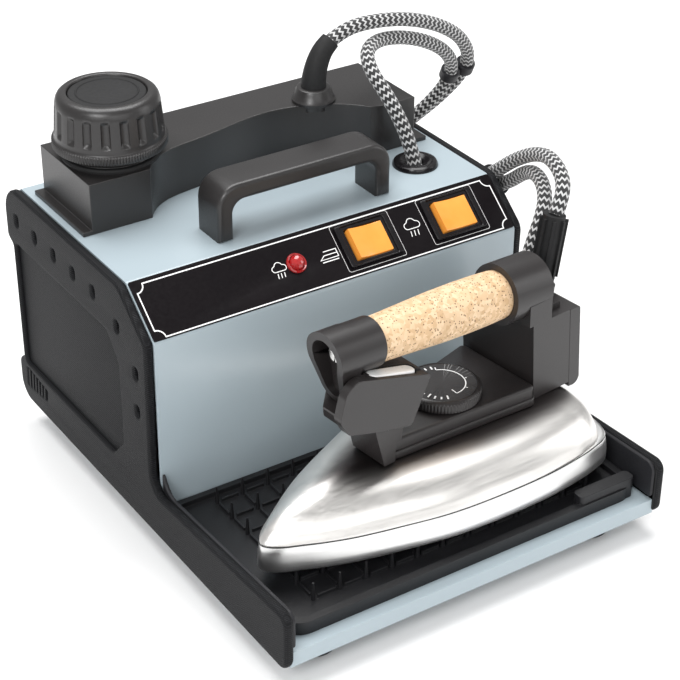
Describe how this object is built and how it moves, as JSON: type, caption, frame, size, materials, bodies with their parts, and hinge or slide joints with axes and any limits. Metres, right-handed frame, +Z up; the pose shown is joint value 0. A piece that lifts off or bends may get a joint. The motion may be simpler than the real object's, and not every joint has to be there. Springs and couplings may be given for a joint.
{
  "type": "steam generator iron",
  "caption": "Professional steam generator iron: boiler base with carry handle, filler cap and lit rocker switches, and a cork-handled steel iron resting on its pinned mat.",
  "frame": {"origin": "middle of the base's footprint on the standing surface", "axes": "+Z up, -Y towards the user and the iron's mat, +X to the user's right"},
  "size_m": [0.3344, 0.456, 0.2438],
  "materials": {
    "painted_casing": "satin",
    "black_rubber": "matte",
    "black_plastic": "fine texture",
    "plated_steel": "zinc plated",
    "mat_rubber": "matte",
    "printed_strip": "satin",
    "gloss_black": "gloss",
    "lit_amber": "translucent, lit",
    "red_lamp": "translucent",
    "brass": "turned",
    "boiler_aluminium": "cast",
    "copper": "drawn",
    "white_plastic": "satin",
    "sole_aluminium": "machined",
    "polished_steel": "fine brushed",
    "iron_black": "heat resistant, satin",
    "cork": "granulated cork",
    "braided_cord": "black and white zigzag braid"
  },
  "bodies": {
    "base": {"casing_shell": "painted_casing", "floor_plate": "painted_casing", "rubber_feet": "black_rubber", "side_panel_right": "black_plastic", "side_panel_left": "black_plastic", "arm_liners": "black_plastic", "base_screws": "plated_steel", "rest_mat": "mat_rubber", "mat_pins": "mat_rubber", "control_strip": "printed_strip", "switch_bodies": "gloss_black", "lamp_lens": "red_lamp", "carry_handle": "black_plastic", "top_cover": "black_plastic", "filler_neck": "brass", "boot_ring": "black_plastic", "boot_sleeve": "black_rubber", "lead_grommet": "gloss_black", "boiler_body": "boiler_aluminium", "boiler_lid": "boiler_aluminium", "boiler_heater": "plated_steel", "boiler_brackets": "plated_steel", "boiler_controls": "gloss_black", "steam_valve": "brass", "steam_pipe": "copper", "terminal_block": "white_plastic", "mains_gland": "black_plastic", "hose_from_boot": "braided_cord", "lead_from_grommet": "braided_cord", "hose_to_clip": "braided_cord", "lead_to_clip": "braided_cord", "hose_coil": "braided_cord", "lead_coil": "braided_cord", "hose_clips": "black_plastic"},
    "iron": {"iron_soleplate": "sole_aluminium", "iron_hull": "polished_steel", "iron_heater": "plated_steel", "iron_thermostat": "plated_steel", "iron_plinth": "iron_black", "iron_pod": "iron_black", "iron_pod_plates": "iron_black", "iron_grip": "cork", "iron_front_cap": "iron_black", "iron_rear_cap": "iron_black", "iron_grip_rod": "plated_steel", "iron_rear_block": "iron_black", "iron_rear_cover": "iron_black", "iron_micro_switch": "gloss_black", "iron_hose_sleeve": "black_rubber", "iron_screws": "plated_steel", "hose_to_iron": "braided_cord", "lead_to_iron": "braided_cord"},
    "dial": {"iron_dial": "iron_black"},
    "button": {"iron_button": "white_plastic"},
    "rocker_left": {"rocker_iron": "lit_amber"},
    "rocker_right": {"rocker_steam": "lit_amber"},
    "cap_lift": {"cap_seal": "black_rubber"},
    "cap": {"filler_cap": "black_plastic", "cap_disc": "black_plastic", "cap_core": "brass"}
  },
  "joints": [
    {"name": "iron_lift", "type": "slide", "parent": "base", "child": "iron", "axis": [0, 0, 1], "range_m": [0, 0.12]},
    {"name": "dial_turn", "type": "hinge", "parent": "iron", "child": "dial", "pos_m": [0.02371, -0.0842, 0.0936], "axis": [0, 0, 1], "range_deg": [0, 270]},
    {"name": "button_press", "type": "slide", "parent": "iron", "child": "button", "axis": [0, 0, -1], "range_m": [0, 0.0025], "stiffness_N_per_m": 300, "springref_m": -0.001},
    {"name": "rocker_left_tilt", "type": "hinge", "parent": "base", "child": "rocker_left", "pos_m": [0.0264, 0.00009, 0.15069], "axis": [0, -0.7741, -0.6331], "range_deg": [0, 12]},
    {"name": "rocker_right_tilt", "type": "hinge", "parent": "base", "child": "rocker_right", "pos_m": [0.088, 0.00009, 0.15069], "axis": [0, -0.7741, -0.6331], "range_deg": [0, 12]},
    {"name": "cap_rise", "type": "slide", "parent": "base", "child": "cap_lift", "axis": [0, 0, 1], "range_m": [0, 0.018]},
    {"name": "cap_turn", "type": "hinge", "parent": "cap_lift", "child": "cap", "pos_m": [-0.085, 0.1035, 0.205], "axis": [0, 0, 1], "range_deg": [0, 1080]}
  ],
  "couplings": [
    {"joint": "cap_rise", "follows": "cap_turn", "m_per_rad": 0.00095493}
  ]
}
